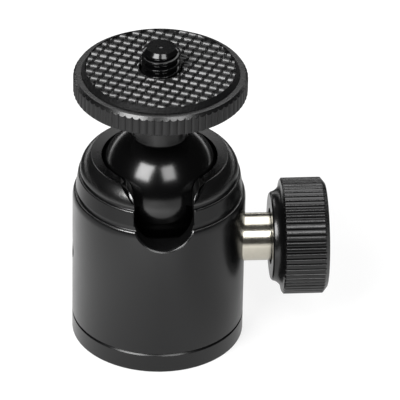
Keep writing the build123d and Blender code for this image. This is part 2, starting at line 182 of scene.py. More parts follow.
print("bright pool on gloss up to", POOL_EDGE[0], "m, dark from", POOL_EDGE[1], "m")

# %% [markdown]
# A Light Path node tells which ray is asking.  The camera sees an even white, gloss sees the pool, and
# everything else sees grey paper, which also catches the object's shadow.

# %% The floor's shader
FLOOR_GLOW, PAPER_GREY = 0.75, 0.3

ray = add_node(tree, "ShaderNodeLightPath").outputs
for_camera = calculate(tree, "MAXIMUM", ray["Is Camera Ray"], ray["Is Transmission Ray"])
glow = add_node(tree, "ShaderNodeEmission", {"Color": (1.0, 1.0, 1.0, 1.0)})
tree.links.new(
    calculate(tree, "MAXIMUM", calculate(tree, "MULTIPLY", for_camera, FLOOR_GLOW),
              calculate(tree, "MULTIPLY", ray["Is Glossy Ray"], pool)),
    glow.inputs["Strength"])
paper = add_node(tree, "ShaderNodeBsdfDiffuse", {"Color": (PAPER_GREY, PAPER_GREY, PAPER_GREY, 1.0)})
lit_paper = add_node(tree, "ShaderNodeAddShader")
tree.links.new(paper.outputs[0], lit_paper.inputs[0])
tree.links.new(glow.outputs[0], lit_paper.inputs[1])
dark = add_node(tree, "ShaderNodeEmission")
tree.links.new(horizon, dark.inputs["Strength"])
choice = add_node(tree, "ShaderNodeMixShader")
tree.links.new(calculate(tree, "MULTIPLY", ray["Is Glossy Ray"], beyond_pool), choice.inputs["Fac"])
tree.links.new(lit_paper.outputs[0], choice.inputs[1])
tree.links.new(dark.outputs[0], choice.inputs[2])
tree.links.new(choice.outputs[0], tree.nodes["Material Output"].inputs["Surface"])
floor_mesh.materials.append(floor_finish)
print("the floor glows with", FLOOR_GLOW, "for the camera and", FLOOR_IN_GLOSS, "in gloss")

# %% The room round the table
ROOM_DIFFUSE, ROOM_GLOSSY = 0.1, 0.03
SKYLINE_HEIGHT, SKYLINE_WIDTH = (0.0, 0.10), (0.6, 0.95)

world = bpy.data.worlds.new("studio_room")
bpy.context.scene.world = world
world.use_nodes = True
tree = world.node_tree
tree.nodes.clear()
ray = add_node(tree, "ShaderNodeLightPath").outputs
_, ahead, upwards, _ = position(tree, "Generated")
for_camera = calculate(tree, "MAXIMUM", ray["Is Camera Ray"], ray["Is Transmission Ray"])
horizon = calculate(tree, "MULTIPLY", ramp(tree, upwards, SKYLINE_HEIGHT, (SKYLINE, 0.0)),
                    ramp(tree, ahead, SKYLINE_WIDTH, (0.0, 1.0)))
in_gloss = calculate(tree, "MAXIMUM", horizon, ROOM_GLOSSY)
in_gloss = calculate(tree, "MULTIPLY", ray["Is Glossy Ray"], in_gloss)
on_matt = calculate(tree, "MULTIPLY", ray["Is Diffuse Ray"], ROOM_DIFFUSE)
room = add_node(tree, "ShaderNodeBackground", {"Color": (1.0, 1.0, 1.0, 1.0)})
tree.links.new(calculate(tree, "MAXIMUM", for_camera, in_gloss, on_matt), room.inputs["Strength"])
tree.links.new(room.outputs[0], add_node(tree, "ShaderNodeOutputWorld").inputs["Surface"])
bpy.context.scene.view_settings.view_transform = "Standard"
print("room light on gloss", ROOM_GLOSSY, "and on matt faces", ROOM_DIFFUSE)

# %% Three soft boxes
LIGHTS_AIM = Vector((0.0, 0.0, 0.028))


def soft_box(name, azimuth, rise, distance, spread, brightness):
    """An area light facing the object.  azimuth is in degrees from -Y towards +X, rise above the floor,
    spread the width and height in degrees as seen from the object, brightness the light's own radiance."""
    a, e = math.radians(azimuth), math.radians(rise)
    way_out = Vector((math.sin(a) * math.cos(e), -math.cos(a) * math.cos(e), math.sin(e)))
    data = bpy.data.lights.new(name, "AREA")
    data.shape = "RECTANGLE"
    data.size, data.size_y = (2 * distance * math.tan(math.radians(angle / 2)) for angle in spread)
    data.energy = brightness * math.pi * data.size * data.size_y
    lamp = bpy.data.objects.new(name, data)
    bpy.context.scene.collection.objects.link(lamp)
    lamp.rotation_mode = "QUATERNION"
    lamp.rotation_quaternion = way_out.to_track_quat("Z", "Y")
    lamp.location = LIGHTS_AIM + way_out * distance
    print(name, round(data.size, 3), "x", round(data.size_y, 3), "m,", round(data.energy, 2), "W")


soft_box("soft_box_left", -41.6, 42.0, 1.2, (27.0, 31.0), 11.6)
soft_box("soft_box_right", 19.4, 42.5, 1.2, (22.0, 25.0), 6.6)
soft_box("soft_box_behind", 175.4, 62.0, 1.4, (50.0, 50.0), 2.2)

# %% [markdown]
# ## Shapes from two parameters
# Almost every piece here is turned on a lathe.  Its section is a short list of (radius, height) points,
# and the surface is that section carried round an axis: one parameter runs along the section, the other
# round the circle.  Ribs fit in too, if the section is allowed to change with the angle.  A section is
# therefore kept as an array of angles x points x 2.

# %% Sections
def corners(*points):
    """A section from plain (radius, height) corners, the same at every angle."""
    return np.array(points, dtype=float)[None]


def changing(*rows):
    """A section whose rows may change with the angle.  The radius and the height of a row are each one
    number, or an array with a value for every angle."""
    values = np.broadcast_arrays(*(value for row in rows for value in row))
    return np.stack(values, axis=-1).reshape(-1, len(rows), 2)


def arc_through(start, middle, end, count):
    """Points on the circle through three points.  Its centre is where the two perpendicular bisectors
    meet, and the angle then runs evenly from the first point to the last."""
    a, b, c = (np.array(p, dtype=float) for p in (start, middle, end))
    sides = 2 * np.array([b - a, c - a])
    centre = np.linalg.solve(sides, [b @ b - a @ a, c @ c - a @ a])
    angles = np.unwrap([math.atan2(*(p - centre)[::-1]) for p in (a, b, c)])
    t = np.linspace(angles[0], angles[2], count)
    radius = np.linalg.norm(a - centre)
    return centre + radius * np.stack([np.cos(t), np.sin(t)], axis=-1)


def eased(section, setbacks, steps=4):
    """Every corner P becomes a short curve.  The curve starts at distance d before P and ends at d
    after it, and between them it is (1-t)^2 start + 2t(1-t) P + t^2 end."""
    before = np.roll(section, 1, axis=1) - section
    after = np.roll(section, -1, axis=1) - section
    d = np.asarray(setbacks, dtype=float)[None, :, None]
    start = section + d * before / np.maximum(np.linalg.norm(before, axis=2, keepdims=True), 1e-9)
    end = section + d * after / np.maximum(np.linalg.norm(after, axis=2, keepdims=True), 1e-9)
    t = np.linspace(0, 1, steps)[:, None]
    start, corner, end = start[:, :, None], section[:, :, None], end[:, :, None]
    curve = (1 - t) ** 2 * start + 2 * t * (1 - t) * corner + t ** 2 * end
    return curve.reshape(len(section), -1, 2)


def held(section, hold=0.06, longer_than=0.3):
    """A long straight run gets one more point close to each end, so that smooth shading stays flat
    along the run and turns only at its corners."""
    run = np.roll(section, -1, axis=1) - section
    length = np.linalg.norm(run, axis=2, keepdims=True)
    share = np.minimum(0.33, hold / np.maximum(length, 1e-9))
    points = np.stack([section, section + share * run, section + (1 - share) * run], axis=2)
    keep = np.ones(points.shape[1:3], dtype=bool)
    keep[:, 1:] = (length.max(axis=0) > longer_than)
    return points[:, keep]


print("arc test:", arc_through((1, 0), (0, 1), (-1, 0), 3).round(3).tolist())

# %% [markdown]
# The same few lines carry a section round an upright axis or round the knob's axis, which lies along X.
# Neighbouring points of the grid are then joined by four-cornered faces, worked out as whole arrays.

# %% From section to points to mesh
CLAMP_Z = 16.7


def round_upright(section, count):
    """x = r cos a, y = r sin a, z = h, for a section of (r, h)."""
    angle = np.linspace(0, 2 * np.pi, count, endpoint=False)[:, None]
    r, h = section[..., 0], section[..., 1]
    return np.stack([r * np.cos(angle), r * np.sin(angle), h + 0 * angle], axis=-1)


def round_clamp_axis(section, count):
    """x = h, y = -r sin a, z = axis height + r cos a, for a section of (r, h)."""
    angle = np.linspace(0, 2 * np.pi, count, endpoint=False)[:, None]
    r, h = section[..., 0], section[..., 1]
    return np.stack([h + 0 * angle, -r * np.sin(angle), CLAMP_Z + r * np.cos(angle)], axis=-1)


def grid_faces(rows, columns):
    """Faces between neighbours of a rows x columns grid that closes on itself in both directions."""
    i, j = np.meshgrid(np.arange(rows), np.arange(columns), indexing="ij")
    next_i, next_j = (i + 1) % rows, (j + 1) % columns
    around = [i * columns + j, i * columns + next_j, next_i * columns + next_j, next_i * columns + j]
    return np.stack(around, axis=-1).reshape(-1, 4)


def closed_mesh(name, points):
    """A closed mesh in metres from a grid of points in millimetres.  Points that meet, such as the
    poles of a ball, are merged, and the faces are turned outwards."""
    rows, columns = points.shape[:2]
    mesh = bpy.data.meshes.new(name)
    mesh.from_pydata((points.reshape(-1, 3) * MM).tolist(), [], grid_faces(rows, columns).tolist())
    work = bmesh.new()
    work.from_mesh(mesh)
    bmesh.ops.remove_doubles(work, verts=work.verts, dist=2e-7)
    bmesh.ops.dissolve_degenerate(work, edges=work.edges, dist=1e-7)
    bmesh.ops.recalc_face_normals(work, faces=work.faces)
    work.to_mesh(mesh)
    work.free()
    return mesh


def place(name, mesh, body, finishes, sharp=32.0):
    """An object at the origin that rides on its body, shaded smooth except at its sharp edges."""
    mesh.polygons.foreach_set("use_smooth", np.ones(len(mesh.polygons), dtype=bool))
    mesh.set_sharp_from_angle(angle=math.radians(sharp))
    mesh.materials.clear()
    for finish in finishes:
        mesh.materials.append(finish)
    piece = bpy.data.objects.new(name, mesh)
    bpy.context.scene.collection.objects.link(piece)
    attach(piece, body)
    print(f"{name}: {len(mesh.vertices)} points, {len(mesh.polygons)} faces")
    return piece


def face_centres(mesh):
    """The middle of every face in millimetres, as an array."""
    flat = np.empty(3 * len(mesh.polygons))
    mesh.polygons.foreach_get("center", flat)
    return flat.reshape(-1, 3) / MM


def paint_faces(mesh, choice):
    """Gives every face the finish of that number."""
    mesh.polygons.foreach_set("material_index", np.asarray(choice, dtype=np.int32))


# %% [markdown]
# Holes and the drop slot are cut with Blender's Boolean modifier, which is applied at once.  The tool
# that cuts is a closed mesh too, and it is thrown away afterwards.

# %% Cut one mesh out of another
def cut_away(mesh, cutter_mesh):
    """The first mesh without the space of the second."""
    scene = bpy.context.scene
    body = bpy.data.objects.new("cut_body", mesh)
    cutter = bpy.data.objects.new("cut_tool", cutter_mesh)
    scene.collection.objects.link(body)
    scene.collection.objects.link(cutter)
    cut = body.modifiers.new("cut", "BOOLEAN")
    cut.operation, cut.solver, cut.object = "DIFFERENCE", "MANIFOLD", cutter
    bpy.context.view_layer.update()
    ready = body.evaluated_get(bpy.context.evaluated_depsgraph_get())
    result = bpy.data.meshes.new_from_object(ready)
    bpy.data.objects.remove(body)
    bpy.data.objects.remove(cutter)
    bpy.data.meshes.remove(cutter_mesh)
    return result


def drill(radius, start, end, along, centre, count=96):
    """A round bar to cut a hole with, closed at both ends.  along is "x" or "z"; centre is the
    (y, z) or (x, y) of its axis in millimetres."""
    section = np.array([(0, start), (radius, start), (radius, end), (0, end)], dtype=float)[None]
    angle = np.linspace(0, 2 * np.pi, count, endpoint=False)[:, None]
    r, h = section[..., 0], section[..., 1] + 0 * angle
    across, over = centre[0] + r * np.cos(angle), centre[1] + r * np.sin(angle)
    ordered = (h, across, over) if along == "x" else (across, over, h)
    return closed_mesh("drill", np.stack(ordered, axis=-1))


# %% [markdown]
# ## Finishes
# Black anodised aluminium has almost no diffuse colour, so its grey is all Fresnel reflection: a few
# percent face on and much more at the rim.  What tells the pieces apart is how fine their surface is:
# the ball is polished, the wall is finely turned, the crown is blasted and the platform is rougher.
# Turning marks depend only on radius and height, so the texture reads those two and has no seam.

# %% Where a texture looks
def millimetres(tree):
    """The piece's own coordinates in millimetres."""
    place_on = add_node(tree, "ShaderNodeTexCoord")
    scale = add_node(tree, "ShaderNodeVectorMath", operation="SCALE")
    scale.inputs["Scale"].default_value = 1 / MM
    tree.links.new(place_on.outputs["Object"], scale.inputs[0])
    return scale.outputs[0]


def turning_place(tree, along="z"):
    """(radius, height, 0) in millimetres round the upright axis, or round the knob's axis."""
    apart = add_node(tree, "ShaderNodeSeparateXYZ")
    tree.links.new(millimetres(tree), apart.inputs[0])
    x, y, z = apart.outputs
    if along == "x":
        x, y, z = y, calculate(tree, "SUBTRACT", z, CLAMP_Z), x
    squares = calculate(tree, "ADD", calculate(tree, "POWER", x, 2.0), calculate(tree, "POWER", y, 2.0))
    together = add_node(tree, "ShaderNodeCombineXYZ")
    tree.links.new(calculate(tree, "SQRT", squares), together.inputs[0])
    tree.links.new(z, together.inputs[1])
    return together.outputs[0]


def noise(tree, where, scale, detail=3.0):
    """Cloudy noise between 0 and 1 at that many features per millimetre."""
    made = add_node(tree, "ShaderNodeTexNoise", {"Scale": scale, "Detail": detail, "Roughness": 0.55})
    tree.links.new(where, made.inputs["Vector"])
    return made.outputs["Fac"]


def between(tree, value, low, high):
    """Noise spread from low to high.  Most of its values lie between 0.3 and 0.7."""
    return ramp(tree, value, (0.3, 0.7), (low, high))


def tint(tree, value, dark, light):
    """A colour between two, by a value from 0 to 1."""
    made = add_node(tree, "ShaderNodeMix", data_type="RGBA")
    made.inputs["A"].default_value = (*dark, 1.0)
    made.inputs["B"].default_value = (*light, 1.0)
    tree.links.new(value, made.inputs["Factor"])
    return made.outputs["Result"]


def relief(tree, shader, value, depth_mm, below=None):
    """Bump from a value; its depth is in millimetres.  below is a bump that it lies on."""
    made = add_node(tree, "ShaderNodeBump", {"Strength": 1.0, "Distance": depth_mm * MM})
    tree.links.new(value, made.inputs["Height"])
    if below is not None:
        tree.links.new(below, made.inputs["Normal"])
    tree.links.new(made.outputs[0], shader.inputs["Normal"])
    return made.outputs[0]


def new_finish(name, **sockets):
    """A material with one Principled shader.  It returns the material, its tree and the shader."""
    material = bpy.data.materials.new(name)
    material.use_nodes = True
    shader = material.node_tree.nodes["Principled BSDF"]
    for socket, value in sockets.items():
        shader.inputs[socket.replace("_", " ")].default_value = value
    return material, material.node_tree, shader


# %% Black anodised aluminium
def anodised(name, colour, roughness, marks, speckle, ior=1.5, grain=4.0):
    """Turning marks and speckle of the given depths in millimetres; the gloss varies with slow clouds."""
    material, tree, shader = new_finish(name, IOR=ior)
    lines = noise(tree, turning_place(tree), 9.0, detail=2.0)
    grains = noise(tree, millimetres(tree), grain)
    clouds = noise(tree, millimetres(tree), 0.35, detail=2.0)
    tree.links.new(between(tree, clouds, roughness * 0.92, roughness * 1.08), shader.inputs["Roughness"])
    dark, light = (tuple(c * k for c in colour) for k in (0.8, 1.2))
    tree.links.new(tint(tree, grains, dark, light), shader.inputs["Base Color"])
    turned = relief(tree, shader, lines, marks)
    relief(tree, shader, grains, speckle, below=turned)
    return material


wall_black = anodised("wall_black", (0.0036, 0.0037, 0.0040), 0.25, 0.0004, 0.0006)
crown_black = anodised("crown_black", (0.0012, 0.0012, 0.0013), 0.25, 0.004, 0.020, ior=1.95, grain=3.0)
ring_black = anodised("ring_black", (0.0012, 0.0012, 0.0013), 0.28, 0.0012, 0.003)
platform_black = anodised("platform_black", (0.010, 0.010, 0.0103), 0.38, 0.001, 0.003)
bevel_black = anodised("bevel_black", (0.004, 0.004, 0.0042), 0.27, 0.003, 0.016, ior=1.75, grain=3.0)
ball_black = anodised("ball_black", (0.0012, 0.0012, 0.0013), 0.18, 0.0001, 0.0001, ior=1.6)
neck_black = anodised("neck_black", (0.003, 0.003, 0.0032), 0.24, 0.0010, 0.0010)
# painted shade: a darker, rougher and less reflective copy of the anodised black, for faces inside the slot
# and the bore
inside_shade_black = anodised("inside_shade_black", (0.002, 0.002, 0.0021), 0.45, 0.0010, 0.0010, ior=1.35)
blacks = [wall_black, crown_black, ring_black, inside_shade_black]
blacks += [platform_black, bevel_black, ball_black, neck_black]
print("black finishes:", [material.name for material in blacks])

# %% Steel, nickel and brass
def bare_metal(name, colour, roughness, marks, along="z", anisotropy=0.0, waves=0.0):
    """Bare metal with turning marks, which also vary its gloss.  waves is the depth in millimetres of
    the fine unevenness that frays the edges of what a plated face mirrors."""
    material, tree, shader = new_finish(name, Metallic=1.0, Anisotropic=anisotropy)
    lines = noise(tree, turning_place(tree, along), 7.0, detail=3.0)
    smudges = noise(tree, millimetres(tree), 0.6, detail=2.0)
    dark = tuple(c * 0.88 for c in colour)
    tree.links.new(tint(tree, between(tree, smudges, 0.0, 1.0), dark, colour), shader.inputs["Base Color"])
    tree.links.new(between(tree, lines, roughness * 0.8, roughness * 1.2), shader.inputs["Roughness"])
    turned = relief(tree, shader, lines, marks)
    if waves:
        relief(tree, shader, noise(tree, millimetres(tree), 4.0), waves, below=turned)
    if anisotropy:
        round_axis = add_node(tree, "ShaderNodeTangent", direction_type="RADIAL", axis="X")
        tree.links.new(round_axis.outputs[0], shader.inputs["Tangent"])
    return material


bush_nickel = bare_metal("bush_nickel", (0.74, 0.70, 0.60), 0.18, 0.0006,
                         along="x", anisotropy=0.3, waves=0.0025)
plain_steel = bare_metal("plain_steel", (0.55, 0.55, 0.56), 0.3, 0.001)
plain_steel_x = bare_metal("plain_steel_x", (0.55, 0.55, 0.56), 0.3, 0.001, along="x")
turned_brass = bare_metal("turned_brass", (0.72, 0.52, 0.22), 0.25, 0.001, along="x")

# %% Blackened steel, rubber, plastic and nylon
def moulded(name, colour, roughness, grain, depth, ior=1.5):
    """Moulded or blackened: a fine grain in colour and relief, and slow clouds in the gloss."""
    material, tree, shader = new_finish(name, IOR=ior)
    grains = noise(tree, millimetres(tree), grain)
    clouds = noise(tree, millimetres(tree), 0.3, detail=2.0)
    dark, light = (tuple(c * k for c in colour) for k in (0.75, 1.25))
    tree.links.new(tint(tree, between(tree, grains, 0.0, 1.0), dark, light), shader.inputs["Base Color"])
    tree.links.new(between(tree, clouds, roughness * 0.9, roughness * 1.1), shader.inputs["Roughness"])
    relief(tree, shader, grains, depth)
    return material


stud_black = moulded("stud_black", (0.002, 0.002, 0.0022), 0.15, 3.0, 0.0006, ior=1.55)
pad_rubber = moulded("pad_rubber", (0.014, 0.014, 0.0142), 0.26, 4.0, 0.012, ior=1.57)
pad_edge_rubber = moulded("pad_edge_rubber", (0.006, 0.006, 0.0062), 0.45, 2.5, 0.12, ior=1.25)
knob_black = moulded("knob_black", (0.0030, 0.0030, 0.0031), 0.24, 3.0, 0.014, ior=1.6)
black_nylon = moulded("black_nylon", (0.006, 0.006, 0.006), 0.45, 2.0, 0.004)

# %% [markdown]
# ## The housing
# The housing is one turned tube: a straight wall that rounds off at the top, a slightly tapered band
# between two grooves, a rounded crown and a slightly dished ring round the ball.  Small curves on its
# edges catch the light as thin lines; a perfectly sharp edge never does.

# %% The housing's section
BODY_R, CAP_H = 14.0, 3.4
WALL_TOP, BAND_FOOT = (13.73, 26.5), (13.46, 27.3)
BAND_TOP, CROWN_FOOT = (13.07, 29.85), (12.82, 30.5)
CROWN_MIDDLE, CROWN_TOP = (12.25, 31.95), (11.0, 33.1)
WALL_ROUND_Z, TOP_Z = 25.2, 33.1
BORE_R, BORE_TOP_Z, MOUTH_R, LIP_R = 11.3, 31.0, 9.3, 10.2
RING_DISH, GROOVE_DEPTH, LIP_SETBACK = 0.14, 0.45, 0.21
BALL_R, BALL_Z = 10.0, 28.15


def wall_round(count):
    """An arc that leaves the straight wall upright and ends at the wall's top edge."""
    inset, rise = BODY_R - WALL_TOP[0], WALL_TOP[1] - WALL_ROUND_Z
    radius = (inset ** 2 + rise ** 2) / (2 * inset)
    t = np.linspace(0, math.asin(rise / radius), count)
    return np.stack([BODY_R - radius * (1 - np.cos(t)), WALL_ROUND_Z + radius * np.sin(t)], axis=-1)


def crown(count):
    """The crown's round, from the upper groove to the ring's edge."""
    return arc_through(CROWN_FOOT, CROWN_MIDDLE, CROWN_TOP, count)


def housing_section():
    """Outside from the foot up to the ring, then the mouth, the lip's sphere and the bore.  Every run of
    corners comes with the setback that eases them."""
    lower_floor, upper_floor = WALL_TOP[0] - GROOVE_DEPTH, BAND_TOP[0] - GROOVE_DEPTH
    mouth_z = TOP_Z - RING_DISH
    lip_z = np.linspace(BALL_Z + math.sqrt(LIP_R ** 2 - MOUTH_R ** 2), BORE_TOP_Z, 5)
    lip = np.stack([np.sqrt(LIP_R ** 2 - (lip_z - BALL_Z) ** 2), lip_z], axis=-1)
    runs = [
        ([(BODY_R - 0.15, CAP_H), (BODY_R, CAP_H + 0.15)], 0.04),
        (wall_round(9)[:-1], 0.0),
        ([WALL_TOP, (lower_floor, WALL_TOP[1])], LIP_SETBACK),
        ([(lower_floor, BAND_FOOT[1]), BAND_FOOT], 0.06),
        ([BAND_TOP, (upper_floor, BAND_TOP[1])], LIP_SETBACK),
        ([(upper_floor, CROWN_FOOT[1]), CROWN_FOOT], 0.05),
        (crown(14)[1:-1], 0.0),
        ([CROWN_TOP], 0.07),
        ([(MOUTH_R + 0.06, mouth_z), (MOUTH_R, mouth_z - 0.06)], 0.02),
        (lip, 0.0),
        ([(BORE_R, BORE_TOP_Z), (BORE_R, CAP_H)], 0.1),
    ]
    points = np.vstack([np.asarray(run, dtype=float) for run, _ in runs])
    setbacks = np.concatenate([np.full(len(run), setback) for run, setback in runs])
    return held(eased(points[None], setbacks), hold=0.08)


HOUSING_ANGLES = 480
housing_mesh = closed_mesh("housing_skin", round_upright(housing_section(), HOUSING_ANGLES))
print("section points:", housing_section().shape[1])

# %% [markdown]
# The drop slot lets the neck lie over to one side.  Its outline is a straight slot with a round bottom
# and flared top corners.  The tool that cuts it follows the skin: it has the slot's width inside the
# wall and swings outwards just under the skin, which leaves a rounded edge, broad along the wall and
# narrow on the crown.

# %% The slot's cutting tool
SLOT_R, SLOT_FLARE = 4.75, 2.0
SLOT_BEVEL, CROWN_BEVEL, BEVEL_NARROWS = 0.5, 0.12, (29.6, 30.4)


def slot_outline():
    """(x, z) points of the right half from the top to the bottom, then its mirror image, with the outward
    direction of the slot's edge at each point.  Known fault: the flare runs from its foot up to the ring,
    against the rest.  The outline crosses itself there, so a thin crescent with a slit beside it stays
    uncut in each top corner."""
    t = np.linspace(np.pi / 2, 0, 14)
    flare_out = np.stack([np.sin(t), -np.cos(t)], axis=-1)
    flare = np.array([SLOT_R + SLOT_FLARE, TOP_Z - SLOT_FLARE]) - SLOT_FLARE * flare_out
    z = np.linspace(TOP_Z - SLOT_FLARE, BALL_Z, 16)[1:]
    side = np.stack([np.full_like(z, SLOT_R), z], axis=-1)
    side_out = np.stack([np.ones_like(z), 0 * z], axis=-1)
    a = np.linspace(0, np.pi / 2, 33)[1:]
    turn_out = np.stack([np.cos(a), -np.sin(a)], axis=-1)
    bottom = turn_out * SLOT_R + [0, BALL_Z]
    over = np.array([[SLOT_R + SLOT_FLARE, TOP_Z + 1.5]])
    half_way = np.vstack([over, flare, side, bottom])
    out = np.vstack([[[1.0, 0.0]], flare_out, side_out, turn_out])
    mirror = np.array([-1.0, 1.0])
    return np.vstack([half_way, half_way[-2::-1] * mirror]), np.vstack([out, out[-2::-1] * mirror])


def skin_depth(xz):
    """How far in front of the axis the skin lies at (x, z): sqrt(R(z)^2 - x^2)."""
    outside = np.vstack([[(BODY_R, CAP_H)], wall_round(9), [BAND_TOP], crown(14)])
    radius = np.interp(xz[:, 1], outside[:, 1], outside[:, 0])
    return np.sqrt(np.maximum(radius ** 2 - xz[:, 0] ** 2, 1.0))


def slot_tool():
    """Rings of the outline from inside the mouth to in front of the skin, and a cap at both ends.  The
    bevel is an arc of 60 degrees and a straight last step that ends clear of the skin."""
    outline, outward = slot_outline()
    narrow = np.clip((outline[:, 1:] - BEVEL_NARROWS[0]) / np.ptp(BEVEL_NARROWS), 0, 1)
    bevel = SLOT_BEVEL + (CROWN_BEVEL - SLOT_BEVEL) * narrow
    turns = np.radians([0, 15, 30, 45, 60])
    steps = [(1 - math.cos(t), math.sin(t) - 1) for t in turns] + [(1.6, 0.75)]
    rings = [np.column_stack([outline[:, 0], np.full(len(outline), -MOUTH_R / 2), outline[:, 1]])]
    for widen, depth in steps:
        ring = outline + outward * bevel * widen
        rings.append(np.column_stack([ring[:, 0], -skin_depth(ring) - depth * bevel[:, 0], ring[:, 1]]))
    front = rings[-1].copy()
    front[:, 1] = -BODY_R - 2
    rings.append(front)
    middle = np.array([0.0, 0.0, BALL_Z + 2])
    ends = [np.tile(middle + [0, ring[0, 1], 0], (len(ring), 1)) for ring in (rings[0], rings[-1])]
    return np.stack([ends[0], *rings, ends[1]])


slot_mesh = closed_mesh("slot_tool", slot_tool())
print("slot tool:", len(slot_mesh.polygons), "faces")

# %% Cut the slot and the two holes
BUSH_R, BUSH_GAP = 3.9, 0.06
GUIDE_Z, GUIDE_R = 15.45, 1.6
bush_hole = drill(BUSH_R + BUSH_GAP, MOUTH_R, BODY_R + 1, "x", (0, CLAMP_Z))
guide_hole = drill(GUIDE_R, -BODY_R - 1, -MOUTH_R, "x", (0, GUIDE_Z), count=48)
for tool in (slot_mesh, bush_hole, guide_hole):
    housing_mesh = cut_away(housing_mesh, tool)
print("housing after the cuts:", len(housing_mesh.polygons), "faces")

# %% [markdown]
# Four finishes share the housing.  Which one a face gets follows from where its middle lies: the slot's
# walls and everything inside get a darker, rougher black as painted shade, and the grooves' upper lips shine
# like the crown.

# %% Paint and place the housing
SLOT_REACH, SLOT_FLOOR_Z = 7.0, 22.0
UNDER_SKIN = 0.8
centre = face_centres(housing_mesh)
x, y, z = centre.T
r = np.hypot(x, y)
lips = ((np.abs(z - WALL_TOP[1]) < 0.2) & (r > WALL_TOP[0] - 0.33)) | (
    (np.abs(z - BAND_TOP[1]) < 0.2) & (r > BAND_TOP[0] - 0.27))
crown_faces = (z > CROWN_FOOT[1] - 0.02) & (r > CROWN_TOP[0] - 0.05)
ring_faces = (z > TOP_Z - RING_DISH - 0.05) & (r <= CROWN_TOP[0] - 0.05) & (r > MOUTH_R)
# painted shade: faces in the slot and the bore get the darker inside finish
in_slot = (y < 0) & (np.abs(x) < SLOT_REACH) & (z > SLOT_FLOOR_Z) & (z < TOP_Z - 0.2)
in_slot &= skin_depth(centre[:, [0, 2]]) + y > UNDER_SKIN
in_bore = (r < MOUTH_R + 0.02) | ((r < BORE_R + 0.05) & (z < BORE_TOP_Z + 0.2))
housing_finishes = [wall_black, crown_black, ring_black, inside_shade_black]
housing = place("housing_dressed", housing_mesh, "housing", housing_finishes)
paint_faces(housing_mesh, np.select([in_slot | in_bore, ring_faces, crown_faces | lips], [3, 2, 1], 0))
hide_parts("housing")

# %% [markdown]
# ## The base cap
# A flanged plug closes the housing from below.  The thin dark line above it is the seam between two
# small chamfers, so both chamfers are modelled and the line comes by itself.

# %% The base cap
BUSHING_R, BUSHING_TOP_Z = 4.7625, 7.2
PLUG_TOP_Z, SPRING_POST_R, SPRING_POST_Z = 8.5, 3.0, 10.0
FOOT_CHAMFER, SEAM_CHAMFER = 0.1, 0.35
SPANNER_R, SPANNER_PITCH_R = 1.0, 9.5
cap_corners = corners(
    (0, BUSHING_TOP_Z), (BUSHING_R, BUSHING_TOP_Z), (BUSHING_R, 0),
    (BODY_R - FOOT_CHAMFER, 0), (BODY_R, FOOT_CHAMFER),
    (BODY_R, CAP_H - SEAM_CHAMFER), (BODY_R - SEAM_CHAMFER, CAP_H), (BORE_R, CAP_H), (BORE_R, PLUG_TOP_Z),
    (SPRING_POST_R, PLUG_TOP_Z), (SPRING_POST_R, SPRING_POST_Z), (0, SPRING_POST_Z),
)
cap_setbacks = [0, 0.05, 0.2, 0.03, 0.03, 0.06, 0.04, 0.05, 0.2, 0.05, 0.2, 0]
cap_mesh = closed_mesh("base_cap_skin", round_upright(held(eased(cap_corners, cap_setbacks)), 480))
for side in (-1, 1):
    cap_mesh = cut_away(cap_mesh, drill(SPANNER_R, -1, 1.5, "z", (side * SPANNER_PITCH_R, 0), count=48))
base_cap = place("base_cap_dressed", cap_mesh, "housing", [wall_black])
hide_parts("base_cap")

# %% [markdown]
# ## The ball and its neck
# One turned piece: a polished sphere, a narrow flat where the tool stopped, and a satin neck.  The
# angle from the lower pole is the section's parameter, so the points are spread evenly over the ball.

# %% The ball
NECK_R, LEDGE_Z, NECK_TOP_Z = 4.4, 37.0, 45.1
NECK_HOLE_R, NECK_HOLE_Z, HAIR_GAP = 2.55, 39.4, 0.01
BALL_RINGS, BALL_ANGLES = 150, 240


def ball_section():
    """r = R sin t and z = centre - R cos t from the pole to the ledge, then the neck and its hole.  A hair
    is taken off the neck's end, so that it doesn't share a plane with the platform."""
    t = np.linspace(0, np.pi - math.acos((LEDGE_Z - BALL_Z) / BALL_R), BALL_RINGS)
    sphere = np.stack([BALL_R * np.sin(t), BALL_Z - BALL_R * np.cos(t)], axis=-1)
    end_z = NECK_TOP_Z - HAIR_GAP
    neck = [(NECK_R, LEDGE_Z), (NECK_R, end_z), (NECK_HOLE_R, end_z),
            (NECK_HOLE_R, NECK_HOLE_Z), (0, NECK_HOLE_Z)]
    setbacks = np.concatenate([np.zeros(len(sphere) - 1), [0.03], [0.20, 0.05, 0.1, 0, 0]])
    return held(eased(np.vstack([sphere, neck])[None], setbacks))


ball_mesh = closed_mesh("ball_skin", round_upright(ball_section(), BALL_ANGLES))
centre = face_centres(ball_mesh)
ball = place("ball_dressed", ball_mesh, "ball", [ball_black, neck_black])
paint_faces(ball_mesh, centre[:, 2] > LEDGE_Z - 0.02)
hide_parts("ball")

# %% [markdown]
# ## Ribs round a rim
# Both the platform and the knob are gripped by broad ribs with narrow grooves between them.
# The rim's radius is a function of the angle alone.  Where a chamfer meets it, the corner of the
# section slides up or down with that radius, which gives the scalloped edge of a real reeded rim.

# %% The rim's radius
RIB_SAMPLES = 16


def rib_radius(count, radius, depth, sharpness):
    """R - depth (1 - |cos(pi phase)|)^sharpness.  phase counts ribs, so the bracket is 0 on a crest and 1
    in a groove.  A larger sharpness makes the crests flatter and the grooves narrower."""
    phase = np.linspace(0, count, count * RIB_SAMPLES, endpoint=False)
    return radius - depth * (1 - np.abs(np.cos(np.pi * phase))) ** sharpness


print("from a crest to a groove:", rib_radius(1, 10.0, 0.2, 1.5)[:RIB_SAMPLES // 2 + 1].round(3).tolist())

# %% [markdown]
# ## The camera platform
# A round plate with 72 ribs, a bevelled upper edge and a shallow bed that the rubber pad lies in.

